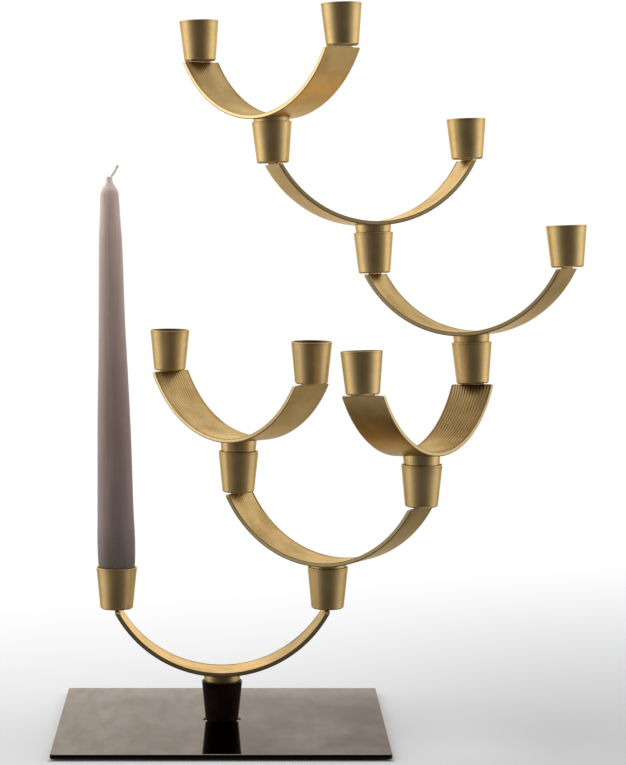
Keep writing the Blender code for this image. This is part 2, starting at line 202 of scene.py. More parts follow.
# ---------------------------------------------------------------- material helpers
class Nodes:
    """A short way to write a node tree."""

    def __init__(self, name="", tree=None):
        if not tree:
            self.material = bpy.data.materials.new(name)
            self.material.use_nodes = True
            tree = self.material.node_tree
            self.shader = tree.nodes["Principled BSDF"]
        self.tree = tree

    def add(self, kind, inputs=None, **settings):
        """A new node with these settings, and these values or links at its inputs."""
        node = self.tree.nodes.new(kind)
        for key, value in settings.items():
            setattr(node, key, value)
        for key, value in (inputs or {}).items():
            self.put(node.inputs[key], value)
        return node

    def put(self, socket, value):
        """Links an output to the socket, or sets the socket's own value."""
        if isinstance(value, bpy.types.NodeSocket):
            self.tree.links.new(value, socket)
        elif socket.type == "RGBA":
            socket.default_value = (*value, 1.0)
        else:
            socket.default_value = value

    def set(self, **inputs):
        """Sets the shader's inputs, with _ for each space in their names."""
        for key, value in inputs.items():
            self.put(self.shader.inputs[key.replace("_", " ")], value)

    def math(self, operation, *values):
        node = self.add("ShaderNodeMath", operation=operation)
        for socket, value in zip(node.inputs, values):
            self.put(socket, value)
        return node.outputs[0]

    def product(self, first, *others):
        for value in others:
            first = self.math("MULTIPLY", first, value)
        return first

    def total(self, first, *others):
        for value in others:
            first = self.math("ADD", first, value)
        return first

    def most(self, a, b):
        return self.math("MAXIMUM", a, b)

    def length(self, a, b):
        """How long the vector (a, b) is."""
        return self.math("SQRT", self.total(self.product(a, a), self.product(b, b)))

    def blend(self, factor, a, b):
        """The number a where the factor is 0, and b where it is 1."""
        return self.math("MULTIPLY_ADD", factor, self.math("SUBTRACT", b, a), a)

    def custom(self, name):
        """The outputs that hold a custom property of the object."""
        return self.add("ShaderNodeAttribute", attribute_type="OBJECT", attribute_name=name).outputs

    def place(self):
        return self.add("ShaderNodeTexCoord").outputs["Object"]

    def xyz(self, vector=None):
        """The three parts of a vector, or of the object's own coordinates in metres."""
        return self.add("ShaderNodeSeparateXYZ", {0: vector or self.place()}).outputs

    def height(self):
        return self.xyz()["Z"]

    def noise(self, size, detail=3.0, rough=0.55, seed=0.0, vector=None, distort=0.0):
        """Noise whose features are about this many millimetres, or this many along each axis."""
        if not isinstance(size, tuple):
            size = (size, size, size)
        stretched = self.add("ShaderNodeMapping", {"Vector": vector or self.place()})
        stretched.inputs["Scale"].default_value = [1 / (s * MM) for s in size]
        settings = {
            "Vector": stretched.outputs[0],
            "W": seed,
            "Scale": 1.0,
            "Detail": detail,
            "Roughness": rough,
            "Distortion": distort,
        }
        return self.add("ShaderNodeTexNoise", settings, noise_dimensions="4D").outputs[0]

    def random(self, spread=40.0):
        """A different seed for each piece that shares the material."""
        return self.product(self.add("ShaderNodeObjectInfo").outputs["Random"], spread)

    def between(self, value, low, high, to_low=0.0, to_high=1.0):
        """Goes smoothly from to_low to to_high as the value goes from low to high."""
        inputs = {"Value": value, "From Min": low, "From Max": high, "To Min": to_low, "To Max": to_high}
        return self.add("ShaderNodeMapRange", inputs, interpolation_type="SMOOTHSTEP").outputs[0]

    def between_mm(self, value, low, high, to_low=0.0, to_high=1.0):
        """The same for a length, with low and high in millimetres."""
        return self.between(value, low * MM, high * MM, to_low, to_high)

    def band(self, value, rise, fall, peak=1.0):
        """The peak between rise and fall, two pairs in millimetres, and 0 outside them."""
        return self.product(self.between_mm(value, *rise), self.between_mm(value, *fall, peak, 0.0))

    def mix(self, factor, a, b, blend="MIX"):
        """The colour a where the factor is 0, and b where it is 1."""
        inputs = {"Factor": factor, "A": a, "B": b}
        return self.add("ShaderNodeMix", inputs, data_type="RGBA", blend_type=blend).outputs["Result"]

    def stain(self, colour, pattern, low, high, amount, other):
        """The colour, with this much of another where the pattern is high."""
        return self.mix(self.between(pattern, low, high, 0.0, amount), colour, other)

    def ramp(self, value, *stops):
        """A colour ramp through (position, colour) stops."""
        node = self.add("ShaderNodeValToRGB", {"Fac": value})
        elements = node.color_ramp.elements
        while len(elements) < len(stops):
            elements.new(0.5)
        for element, (at, colour) in zip(elements, stops):
            element.position = at
            element.color = (*colour, 1.0)
        return node.outputs[0]

    def bump(self, height, distance, strength, normal=None):
        """A normal bent by this height, whose full depth is the distance in millimetres."""
        inputs = {"Height": height, "Distance": distance * MM, "Strength": strength}
        if normal:
            inputs["Normal"] = normal
        return self.add("ShaderNodeBump", inputs).outputs[0]


# ---------------------------------------------------------------- materials
def brass(name, light, dark, warm, rough, base, height, foot, top, wall):
    """Satin turned brass, with painted shade inside and underneath. base is the level of the underside,
    and height, foot, top and wall give the outer cone, in millimetres."""
    n = Nodes(name)
    seed = n.random()
    x, y, z = n.xyz()
    drift = n.noise(17.0, seed=seed)
    rubs = n.noise(3.0, 2.0, 0.5, seed)
    rings = n.noise((60.0, 60.0, 1.3), 2.0, 0.5, seed)
    patches = n.noise(9.0, 2.0, seed=n.total(seed, 9.0))
    cone = n.math("SUBTRACT", n.length(x, y), n.product(z, (top - foot) / height))
    # painted shade: the inside of the cup and its underside are painted dark
    inside = n.between_mm(cone, foot - wall - 0.1, foot - wall + 0.15, 0.95, 0.0)
    under = n.between_mm(z, base + 0.02, base + 0.12, 0.8, 0.0)
    rim_line = n.band(z, (height - 1.6, height - 1.2), (height - 1.1, height - 0.7), 0.3)

    colour = n.mix(n.between(drift, 0.34, 0.68), dark, light)
    colour = n.stain(colour, patches, 0.52, 0.75, 0.55, warm)
    colour = n.mix(inside, colour, (0.055, 0.035, 0.016))
    colour = n.mix(under, colour, (0.30, 0.205, 0.092))
    colour = n.mix(rim_line, colour, (0.20, 0.13, 0.055))
    roughness = n.total(
        n.between(rubs, 0.3, 0.7, rough - 0.02, rough + 0.02),
        n.between(drift, 0.3, 0.7, -0.02, 0.02),
        n.between(rings, 0.3, 0.7, -0.015, 0.015),
    )
    normal = n.bump(rings, 0.003, 0.3, n.bump(rubs, 0.004, 0.3))
    n.set(Base_Color=colour, Metallic=1.0, Roughness=roughness, Normal=normal)
    n.set(Specular_Tint=(0.91, 0.78, 0.57))
    return n.material


def strap_brass():
    """The strap's brass, with a grain along its inner side. Its brightness is painted light, set by
    each strap's own brightness factors."""
    n = Nodes("Strap_brass")
    seed = n.random()
    x, y, z = n.xyz()
    up = n.math("SUBTRACT", z, STRAP_RADIUS * MM)
    around = n.math("ARCTAN2", x, n.product(up, -1.0))
    reach = n.length(x, up)  # from the axis that the strap is rolled about
    across = n.math("ABSOLUTE", y)
    half = STRAP_WIDTH / 2
    unrolled = n.add("ShaderNodeCombineXYZ", {0: n.product(around, STRAP_RADIUS * MM), 1: y, 2: reach})
    fibres = n.noise((9.0, 0.32, 2.0), 3.0, 0.6, seed, unrolled.outputs[0])
    drift = n.noise(17.0, seed=seed)
    warmth = n.noise(14.0, 2.0, seed=n.total(seed, 5.0))
    rubs = n.noise(3.0, 2.0, 0.5, seed)

    # the body of the strap
    inner = n.between_mm(reach, STRAP_INNER + 0.65, STRAP_INNER + 0.75, 1.0, 0.0)
    colour = n.mix(n.between(drift, 0.34, 0.68), (0.50, 0.342, 0.142), (0.62, 0.432, 0.188))
    peach = n.between(warmth, 0.45, 0.72, 0.0, 0.7)
    colour = n.mix(n.product(peach, inner), colour, (0.70, 0.475, 0.24))
    grain = n.between(fibres, 0.35, 0.7, 0.0, 0.28)
    colour = n.mix(n.product(grain, inner), colour, (0.40, 0.285, 0.125))
    crest = STRAP_INNER + LIP_STEP
    valley = n.band(reach, (crest + 0.10, crest + RIB_DEPTH), (crest + 0.3, crest + 0.4), 0.6)
    colour = n.mix(valley, colour, (0.33, 0.22, 0.09))

    # the edge faces painted a paler brass as a highlight, and painted dark reflections where they turn
    # into the two faces
    side = n.between_mm(across, half - 0.26, half - 0.10, 0.0, 0.85)
    colour = n.mix(side, colour, (0.82, 0.62, 0.31))
    painted_dark_inner_rim = n.product(
        n.between_mm(reach, STRAP_INNER + 0.25, STRAP_INNER + 0.60, 0.7, 0.0),
        n.between_mm(across, half - 0.18, half - 0.05),
    )
    painted_dark_outer_rim = n.product(
        n.between_mm(reach, STRAP_RADIUS - 0.70, STRAP_RADIUS - 0.40, 0.0, 0.85),
        n.between_mm(across, half - 0.45, half - 0.10),
    )
    colour = n.mix(n.most(painted_dark_inner_rim, painted_dark_outer_rim), colour, (0.12, 0.080, 0.032))

    # a shaded line beside the lip on the -Y side
    lip = half - LIP
    step = n.band(across, (lip - 0.30, lip - 0.05), (half - 0.32, half - 0.16), 0.85)
    step = n.product(step, n.between_mm(y, -5.0, 5.0, 1.0, 0.0), inner)
    colour = n.mix(step, colour, (0.13, 0.09, 0.03))

    # the cut ends painted pale as a highlight, and painted shadow of the cups on the tongues
    end = n.between_mm(z, STRAP_RISE - 0.36, STRAP_RISE - 0.26, 0.0, 0.8)
    colour = n.mix(end, colour, (0.78, 0.68, 0.54))
    tongue = n.between_mm(z, STRAP_RISE + 0.05, STRAP_RISE + 0.3, 0.0, 0.85)
    colour = n.mix(tongue, colour, (0.12, 0.08, 0.035))

    # painted light: each strap's brass is scaled by its own brightness factors, outside, inside on the
    # left and on the right, and on the edge faces
    outside, left, right = n.xyz(n.custom("painted_light_factor")["Vector"])
    painted_light_factor = n.blend(inner, outside, n.blend(n.between_mm(x, 20.0, 44.0), left, right))
    flank = n.between_mm(across, half - 0.10, half - 0.02)
    painted_light_factor = n.blend(flank, painted_light_factor, n.custom("painted_edge_light_factor")["Fac"])
    painted_light_colour = n.add("ShaderNodeVectorMath", {0: colour, "Scale": painted_light_factor}, operation="SCALE")

    roughness = n.total(n.between(rubs, 0.3, 0.7, 0.35, 0.40), n.product(inner, 0.03))
    normal = n.bump(n.product(fibres, inner), 0.012, 0.4)
    grazing = n.mix(end, (0.95, 0.86, 0.69), (0.70, 0.58, 0.38))
    n.set(Base_Color=painted_light_colour.outputs[0], Metallic=1.0, Roughness=roughness, Normal=normal)
    n.set(Specular_Tint=grazing)
    return n.material


def plate_bronze():
    """Burnished bronze with a soft cloudy patina and brushing along X."""
    n = Nodes("Burnished_bronze")
    x, y, z = n.xyz()
    clouds = n.noise((34.0, 60.0, 20.0), 4.0, seed=3.0)
    mottle = n.noise((8.0, 34.0, 20.0), seed=8.0)
    brush = n.noise((34.0, 0.35, 3.0), 3.0, 0.6, seed=1.0)
    # painted light: the bronze is lighter towards the back-left and darker towards the front-right
    painted_light_slope = n.math("SUBTRACT", n.product(y, 0.5), x)
    colour = n.mix(n.between_mm(painted_light_slope, -150.0, 150.0), (0.082, 0.069, 0.057), (0.165, 0.141, 0.118))
    colour = n.stain(colour, clouds, 0.32, 0.7, 0.3, (0.235, 0.205, 0.18))
    colour = n.stain(colour, mottle, 0.38, 0.68, 0.5, (0.155, 0.127, 0.102))
    colour = n.stain(colour, brush, 0.4, 0.7, 0.4, (0.085, 0.072, 0.062))

    # the bevel round the top, painted pale as a highlight, and the dark flanks below it
    outer = n.most(n.math("ABSOLUTE", x), n.math("ABSOLUTE", y))
    half = PLATE_SIDE / 2
    painted_highlight_bevel = n.between_mm(outer, half - PLATE_EDGE, half - PLATE_EDGE * 0.7, 0.0, 0.9)
    colour = n.mix(painted_highlight_bevel, colour, (0.50, 0.45, 0.40))
    reach = n.length(x, y)
    top_face = n.between_mm(z, PLATE_TOP - 0.34, PLATE_TOP - 0.16)
    recess = n.between_mm(reach, 20.0, 30.0, 1.0, 0.0)
    colour = n.mix(n.most(top_face, recess), (0.022, 0.017, 0.014), colour)

    ring = n.band(
        reach, (RECESS_RADIUS - 0.1, RECESS_RADIUS), (RECESS_RADIUS + 0.25, RECESS_RADIUS + 0.35)
    )
    roughness = n.total(
        n.between(mottle, 0.3, 0.7, 0.045, 0.075),
        n.between(brush, 0.3, 0.7, -0.01, 0.015),
    )
    roughness = n.most(roughness, n.product(n.most(ring, painted_highlight_bevel), 0.3))
    normal = n.bump(clouds, 0.12, 0.12, n.bump(brush, 0.01, 0.35))
    # painted light: the grazing tint is also lighter towards the back-left and towards the back
    grazing = n.mix(n.between_mm(painted_light_slope, -140.0, 130.0), (0.47, 0.437, 0.415), (0.62, 0.577, 0.54))
    grazing = n.mix(n.between_mm(y, 60.0, 100.0, 0.0, 0.6), grazing, (0.70, 0.65, 0.61))
    grazing = n.stain(grazing, clouds, 0.35, 0.68, 0.34, (0.71, 0.66, 0.62))
    grazing = n.stain(grazing, mottle, 0.40, 0.66, 0.28, (0.46, 0.42, 0.39))
    n.set(Base_Color=colour, Metallic=1.0, Roughness=roughness, Normal=normal)
    n.set(Specular_Tint=grazing)
    return n.material


def black_bronze():
    """The base cup's nearly black bronze, with a slightly lighter rim."""
    n = Nodes("Blackened_bronze")
    drift = n.noise(8.0, 4.0, 0.6, seed=2.0)
    streaks = n.noise((1.2, 1.2, 14.0), 3.0, 0.6, seed=4.0)
    colour = n.mix(n.between(drift, 0.35, 0.7), (0.0080, 0.0046, 0.0036), (0.0160, 0.0100, 0.0070))
    colour = n.stain(colour, streaks, 0.52, 0.75, 0.4, (0.022, 0.016, 0.011))
    rim = n.between_mm(n.height(), CUP_HEIGHT - 0.5, CUP_HEIGHT - 0.15, 0.0, 0.6)
    colour = n.mix(rim, colour, (0.035, 0.025, 0.016))
    n.set(Base_Color=colour, Roughness=n.between(drift, 0.3, 0.7, 0.16, 0.26))
    n.set(Normal=n.bump(streaks, 0.003, 0.4), IOR=1.11, Specular_IOR_Level=0.5)
    return n.material


def screw_steel():
    """Plain steel, for the screws."""
    n = Nodes("Screw_steel")
    drift = n.noise(1.4, seed=n.random())
    colour = n.mix(n.between(drift, 0.3, 0.7), (0.30, 0.29, 0.28), (0.48, 0.47, 0.45))
    n.set(Base_Color=colour, Metallic=1.0, Roughness=n.between(drift, 0.3, 0.7, 0.28, 0.42))
    n.set(Normal=n.bump(n.noise(0.3, 2.0), 0.01, 0.4))
    return n.material


def felt():
    """Dark felt, matted from short fibres."""
    n = Nodes("Dark_felt")
    fibres = n.noise(0.5, 5.0, 0.7, seed=2.0, distort=1.5)
    clumps = n.noise(3.5, seed=6.0)
    colour = n.mix(n.between(fibres, 0.3, 0.72), (0.012, 0.012, 0.013), (0.060, 0.059, 0.062))
    colour = n.stain(colour, clumps, 0.35, 0.7, 0.4, (0.035, 0.033, 0.034))
    n.set(Base_Color=colour, Roughness=n.between(clumps, 0.3, 0.7, 0.88, 0.98))
    n.set(Normal=n.bump(fibres, 0.25, 0.8), Sheen_Weight=0.35, Sheen_Roughness=0.5)
    return n.material


def wax():
    """Taupe wax, painted darker towards the foot as shade and paler towards the tip as light, with faint
    darker drips down its length.
    """
    n = Nodes("Taupe_wax")
    clouds = n.noise((8.0, 8.0, 30.0), seed=1.0)
    streaks = n.noise((1.4, 1.4, 60.0), 3.0, 0.6, seed=5.0)
    bloom = n.noise(1.1, 4.0, 0.65, seed=9.0)
    # painted shade and light: the ramp up the height runs from dark by the cup to pale at the tip
    colour = n.ramp(
        n.math("DIVIDE", n.height(), CANDLE_HEIGHT * MM),
        (0.0, (0.105, 0.078, 0.066)),
        (0.04, (0.134, 0.098, 0.085)),
        (0.12, (0.203, 0.143, 0.127)),
        (0.35, (0.253, 0.180, 0.154)),
        (0.48, (0.285, 0.205, 0.175)),
        (0.61, (0.357, 0.262, 0.221)),
        (0.74, (0.417, 0.315, 0.268)),
        (0.84, (0.496, 0.374, 0.320)),
        (0.915, (0.60, 0.465, 0.40)),
        (0.966, (0.56, 0.44, 0.38)),
        (0.985, (0.70, 0.61, 0.56)),
        (1.0, (0.82, 0.76, 0.71)),
    )
    colour = n.stain(colour, clouds, 0.35, 0.7, 0.15, (0.42, 0.33, 0.28))
    colour = n.stain(colour, streaks, 0.45, 0.75, 0.18, (0.05, 0.035, 0.03))
    colour = n.stain(colour, bloom, 0.5, 0.8, 0.16, (0.50, 0.45, 0.42))
    normal = n.bump(bloom, 0.02, 0.4, n.bump(streaks, 0.06, 0.4))
    n.set(Base_Color=colour, Roughness=n.between(clouds, 0.3, 0.7, 0.42, 0.52), Normal=normal)
    n.set(Subsurface_Weight=0.25, Subsurface_Radius=(0.004, 0.0025, 0.002), Subsurface_Scale=0.6)
    n.set(Coat_Weight=0.04, Coat_Roughness=0.35, Specular_IOR_Level=0.4)
    return n.material


def cotton():
    """The wick's cotton, soaked with wax at its foot."""
    n = Nodes("Wick_cotton")
    fibres = n.noise((0.12, 0.12, 0.6), seed=4.0)
    colour = n.mix(n.between(fibres, 0.3, 0.7), (0.66, 0.61, 0.50), (0.93, 0.89, 0.79))
    waxed = n.between_mm(n.height(), CANDLE_HEIGHT - 0.5, CANDLE_HEIGHT + 2.0, 0.4, 0.0)
    colour = n.mix(waxed, colour, (0.46, 0.40, 0.36))
    n.set(Base_Color=colour, Roughness=n.between(fibres, 0.3, 0.7, 0.75, 0.9))
    n.set(Normal=n.bump(fibres, 0.05, 0.5))
    n.set(Subsurface_Weight=0.4, Subsurface_Radius=(0.001, 0.0009, 0.0007))
    return n.material


STRAP_BRASS = strap_brass()
CUP_BRASS = brass(
    "Cup_brass",
    light=(0.63, 0.447, 0.203),
    dark=(0.55, 0.385, 0.168),
    warm=(0.65, 0.45, 0.222),
    rough=0.38,
    base=-CUP_SINK,
    height=CUP_HEIGHT,
    foot=CUP_FOOT,
    top=CUP_TOP,
    wall=CUP_WALL,
)
# The plug's cone is a cylinder round its screw bore, far higher than the plug itself.
PLUG_BRASS = brass(
    "Plug_brass",
    light=(0.62, 0.44, 0.203),
    dark=(0.53, 0.372, 0.165),
    warm=(0.62, 0.43, 0.215),
    rough=0.37,
    base=-SPIGOT_LENGTH,
    height=60.0,
    foot=6.0,
    top=6.0,
    wall=4.0,
)
BRONZE, BLACK, STEEL = plate_bronze(), black_bronze(), screw_steel()
FELT, WAX, COTTON = felt(), wax(), cotton()


# ---------------------------------------------------------------- pieces, in their own axes
def cup_shape(drop=0.0, sink=0.0):
    """A tapered cup with a narrow flat lip and an eased foot. Its foot sinks to -sink, or its
    middle alone reaches down to -drop."""
    slope = (CUP_TOP - CUP_FOOT) / CUP_HEIGHT
    corners = [
        (0, CUP_FLOOR, 0),
        (CUP_INNER_FOOT, CUP_FLOOR, 0.8),
        (CUP_TOP - CUP_WALL, CUP_HEIGHT, 0.25),
        (CUP_TOP, CUP_HEIGHT, 0.35),
        (CUP_FOOT + (CUP_EDGE - sink) * slope, CUP_EDGE - sink, 0.25),
        (CUP_FOOT - CUP_EDGE - sink * slope, -sink, 0.25),
    ]
    if drop:
        corners.append((CUP_FOOT - CUP_EDGE, -drop, 0))
    corners.append((0, -max(drop, sink), 0))
    return lathe(filleted(corners), ROUND_STEPS)


def waver(a, b, seed):
    """A slow wave over two lengths, between -1 and 1."""
    return (
        math.sin(0.9 * a + 1.7 * b + 2.1 * seed)
        + math.sin(1.7 * a - 0.8 * b + 4.3 * seed + 1.3)
        + math.sin(2.9 * a + 0.5 * b + 0.7 * seed + 2.6)
    ) / 3


def groove(along, across, seed):
    """How far the inner face lies below its lip, for lengths in millimetres."""
    ripple = 0.42 * waver(along / 7.5, across / 9, seed)
    drift = 0.9 * waver(along / 30, across / 16, seed + 3)
    pitch = (STRAP_WIDTH - 2 * LIP) / RIBS
    wave = 0.5 - 0.5 * math.cos(math.tau * (across + ripple + drift) / pitch)
    fade = 0.75 + 0.25 * waver(along / 12, across / 4, seed + 5)
    return LIP_STEP + RIB_DEPTH * fade * wave


def strap_section():
    """The strap's outline, once round, as (y, radius, is in the ribbed field)."""
    half, field = STRAP_WIDTH / 2, STRAP_WIDTH / 2 - LIP
    outer_half, rib_half = half - OUTER_EASE, field - LIP_SLOPE
    outer_steps, inner_steps, face_steps, rib_steps = 4, 9, 10, 7 * RIBS
    edge = []  # from the outer face round to the ribbed field, on the +Y side
    for k in range(1, outer_steps + 1):
        a = quarter(k, outer_steps)
        y = outer_half + OUTER_EASE * math.sin(a)
        edge.append((y, STRAP_RADIUS - OUTER_EASE * (1 - math.cos(a)), 0))
    edge.append((half, (STRAP_INNER + STRAP_RADIUS) / 2, 0))
    for k in range(inner_steps + 1):
        a = quarter(k, inner_steps)
        y = half - INNER_EASE * (1 - math.cos(a))
        edge.append((y, STRAP_INNER + INNER_EASE * (1 - math.sin(a)), 0))
    edge.append((field, STRAP_INNER, 0))
    outside = [(outer_half * (2 * k / face_steps - 1), STRAP_RADIUS, 0) for k in range(face_steps + 1)]
    ribs = [(rib_half * (1 - 2 * k / rib_steps), STRAP_INNER, 1) for k in range(rib_steps + 1)]
    return outside + edge + ribs + [(-y, r, ribbed) for y, r, ribbed in reversed(edge)]


def strap_shape(seed):
    """The rolled strap, ribbed along its inner face, with level-cut ends and their tongues."""
    section, rings, half = strap_section(), [], STRAP_WIDTH / 2

    def add_ring(share, top, inset=0.0, chamfer=0.0):
        """The section at a share of the half sweep that ends at the height top."""
        ring = []
        for y, r, ribbed in section:
            r = max(STRAP_INNER + chamfer, min(STRAP_RADIUS - chamfer, r))
            a = share * math.acos((STRAP_RADIUS - top) / r)
            if ribbed:
                r += groove(a * STRAP_INNER, y, seed)
            # only the outer 2 mm draw in, so that the ribs stay straight
            y -= math.copysign(inset * max(0.0, (abs(y) - half) / (2 * STRAP_CORNER) + 1), y)
            ring.append(Vector((r * math.sin(a), y, STRAP_RADIUS - r * math.cos(a))))
        rings.append(ring)

    def add_end(share, angles):
        """An end with its two corners rounded. The ring past 90 degrees lies just within the
        end face, and keeps it flat."""
        for angle in angles:
            a = math.radians(min(angle, 90))
            depth, inset = STRAP_CORNER * (1 - math.sin(a)), STRAP_CORNER * (1 - math.cos(a))
            within = 0.06 if angle > 90 else 0.0
            add_ring(share, STRAP_RISE - depth, inset + within, max(0.0, STRAP_BEVEL - depth) + within)

    rows, angles = 112, (22.5, 45, 67.5, 90, 99)
    add_end(-1, reversed(angles))
    for k in range(rows + 1):
        add_ring(2 * k / rows - 1, STRAP_RISE - STRAP_CORNER)
    add_end(1, angles)
    for ring in rings[:2] + rings[-2:]:  # the end faces are level
        for point in ring:
            point.z = STRAP_RISE

    mesh = bmesh.new()
    loops = [[mesh.verts.new(point) for point in ring] for ring in rings]
    for low, high in zip(loops, loops[1:]):
        skin(mesh, low, high)
    for side, loop in ((-1, loops[0]), (1, loops[-1])):
        add_tongue(mesh, loop, side)
    return read_out(mesh)


def add_tongue(mesh, loop, side):
    """Closes an end of the strap, and stands the tongue that carries the cup on it."""
    near, far, half = side * TONGUE_NEAR, side * TONGUE_FAR, TONGUE_WIDTH / 2
    foot, top = (
        [mesh.verts.new((x, y, z)) for x, y in ((near, -half), (far, -half), (far, half), (near, half))]
        for z in (STRAP_RISE, STRAP_RISE + CUP_LIFT + TONGUE_IN_CUP)
    )
    fill(mesh, loop, foot, use_beauty=False, normal=(0, 0, 1))
    skin(mesh, foot, top)
    mesh.faces.new(top)


def spigot_shape():
    """The tapered plug under a strap: its top is a saddle, and a pocket in its foot takes the
    head of the screw."""
    saddle = [(r, 0, 0) for r in (SCREW_BORE, 4.0, 7.0, 9.5, SPIGOT_TOP)]
    corners = saddle + [
        (SPIGOT_TOP, -0.8, 0),
        (SPIGOT_COLLAR_RADIUS, -SPIGOT_COLLAR, 0.3),
        (SPIGOT_FOOT + 0.5, -SPIGOT_LENGTH + 1.0, 0.3),
        (SPIGOT_FOOT - 0.5, -SPIGOT_LENGTH, 0.2),
        (POCKET_RADIUS, -SPIGOT_LENGTH, 0.25),
        (POCKET_RADIUS, POCKET_DEPTH - SPIGOT_LENGTH, 0.2),
        (SCREW_BORE, POCKET_DEPTH - SPIGOT_LENGTH, 0),
    ]

    def bend(x, y, z, i):
        if i < len(saddle):
            z = STRAP_RADIUS - math.sqrt(STRAP_RADIUS**2 - x * x) - SADDLE_GAP
        return x, y, z

    return lathe(filleted(corners), ROUND_STEPS, closed=True, bend=bend)


def screw_shape():
    """A cap screw with a hexagon socket, upside down in the plug's pocket."""
    under = POCKET_DEPTH - SPIGOT_LENGTH - SCREW_GAP
    face = under - SCREW_HEAD_HEIGHT
    corners = [
        (0, -SCREW_GAP, 0),
        (SCREW_SHANK, -SCREW_GAP, 0.2),
        (SCREW_SHANK, under, 0),
        (SCREW_HEAD, under, 0.15),
        (SCREW_HEAD, face, 0.3),
        (SOCKET_RADIUS + 0.13, face, 0.06),
        (SOCKET_RADIUS, face + 0.15, 0),
        (SOCKET_RADIUS, face + SOCKET_DEPTH, 0),
        (0, face + SOCKET_DEPTH + 0.2, 0),
    ]
    profile = filleted(corners, steps=4, support=0.05)
    first = profile.index((SOCKET_RADIUS, face + 0.15))

    def bend(x, y, z, i):
        """Turns the circles of the socket into hexagons."""
        if i < first or (x == 0 and y == 0):
            return x, y, z
        a = math.atan2(y, x) % (math.pi / 3) - math.pi / 6
        k = math.cos(math.pi / 6) / math.cos(a)
        return x * k, y * k, z

    return lathe(profile, 48, bend=bend)


def plate_shape():
    """The square plate: eased edges, the recess round the cup's foot, and the screw hole."""
    mesh = bmesh.new()

    def square(inset, z):
        """The plate's outline, drawn in by the inset."""
        loop, radius, side = [], PLATE_CORNER - inset, PLATE_SIDE / 2 - PLATE_CORNER
        for q, (x, y) in enumerate(((side, side), (-side, side), (-side, -side), (side, -side))):
            for k in range(9):
                a = math.pi / 2 * q + quarter(k, 8)
                loop.append(mesh.verts.new((x + radius * math.cos(a), y + radius * math.sin(a), z)))
        return loop

    def circle(r, z, steps=128):
        angles = [math.tau * k / steps for k in range(steps)]
        return [mesh.verts.new((r * math.cos(a), r * math.sin(a), z)) for a in angles]

    turns, support = [quarter(k, 4) for k in range(5)], 0.25
    low = [(1 - math.sin(a), PLATE_BOTTOM + PLATE_EDGE * (1 - math.cos(a))) for a in turns]
    high = [(1 - math.cos(a), PLATE_TOP - PLATE_EDGE * (1 - math.sin(a))) for a in turns]
    rings = [square(PLATE_EDGE + support, PLATE_BOTTOM)]
    rings += [square(PLATE_EDGE * share, z) for share, z in low + high]
    rings.append(square(PLATE_EDGE + support, PLATE_TOP))
    floor = PLATE_TOP - RECESS_DEPTH
    corners = [
        (RECESS_RADIUS + 1.0, PLATE_TOP, 0),
        (RECESS_RADIUS, PLATE_TOP, 0.25),
        (RECESS_RADIUS, floor, 0.2),
        (PLATE_HOLE, floor, 0),
        (PLATE_HOLE, PLATE_BOTTOM + COUNTERSINK_DEPTH, 0),
        (COUNTERSINK, PLATE_BOTTOM, 0),
    ]
    circles = [circle(r, z) for r, z in filleted(corners, steps=4)]
    for loops in (rings, circles):
        for a, b in zip(loops, loops[1:]):
            skin(mesh, a, b)
    fill(mesh, rings[-1], circles[0], use_beauty=True)
    fill(mesh, rings[0], circles[-1], use_beauty=True)
    return read_out(mesh)


def smooth_curve(stations, z):
    """The radius at the height z, on a smooth curve through (height, radius) stations that go
    down. Between two stations it never leaves their radii."""
    last = len(stations) - 1
    i = next(i for i in range(last) if z >= stations[i + 1][0])
    (z0, r0), (z1, r1) = stations[max(i - 1, 0)], stations[i]
    (z2, r2), (z3, r3) = stations[i + 1], stations[min(i + 2, last)]
    step = r2 - r1
    start = (r2 - r0) / (z2 - z0) * (z2 - z1)
    end = (r3 - r1) / (z3 - z1) * (z2 - z1)
    if step:
        start, end = (max(min(slope / step, 3), 0) * step for slope in (start, end))
    t = (z - z1) / (z2 - z1)
    return r1 + step * t * t * (3 - 2 * t) + start * t * (1 - t) ** 2 - end * t * t * (1 - t)


def candle_shape():
    """The taper: a pared foot, a long slightly uneven body, a shoulder and a short neck."""
    top = CANDLE_HEIGHT
    stations = [
        (top, 1.9),
        (top - 3.0, 2.1),
        (top - 6.0, 3.6),
        (top - 8.5, 5.0),
        (top - 11.3, 5.65),
        (top - 27.0, 6.45),
        (top - 39.0, 7.15),
        (top - 94.0, 8.35),
        (top - 149.0, 10.1),
        (top - 204.0, 11.1),
        (top - 223.0, 11.65),
        (4.5, 11.45),
        (0.0, 11.1),
        (-CANDLE_IN_CUP, 9.0),
    ]
    tip = [(0, -4.0), (0.7, -3.9), (0.75, -1.2), (1.1, -0.35), (1.5, -0.02), (1.8, -0.08)]
    neck = [top - 0.25 * k for k in range(1, 60)]
    body = [top - 15.0 - 2.0 * k for k in range(110)]
    foot = [5.0, 4.0, 3.0, 2.0, 1.0, 0.0, -1.5, -4.0, -8.0, -12.5]
    heights = neck + [z for z in body if z > 6.0] + foot
    profile = [(r, top + z) for r, z in tip]  # from the hollow round the wick
    profile += [(smooth_curve(stations, z), z) for z in heights]
    profile += [(8.6, 0.2 - CANDLE_IN_CUP), (8.0, -CANDLE_IN_CUP), (0, -CANDLE_IN_CUP)]

    def bend(x, y, z, i):
        """Makes the wax slightly out of round, and the shoulders soft."""
        r = math.hypot(x, y)
        if r < 1.7 or z < 1.0:
            return x, y, z
        a = math.atan2(y, x)
        uneven = 0.05 * math.sin(2 * a + z / 31) + 0.035 * math.sin(3 * a - z / 17 + 1)
        uneven += 0.03 * math.sin(z / 9 + a)
        if z > top - 12:
            uneven += 0.10 * math.sin(2 * a + 1.0) * min(1, (z - top + 12) / 6)
        k = 1 + (uneven - 0.06) / max(r, 3)
        return x * k, y * k, z

    return lathe(profile, 96, bend=bend)


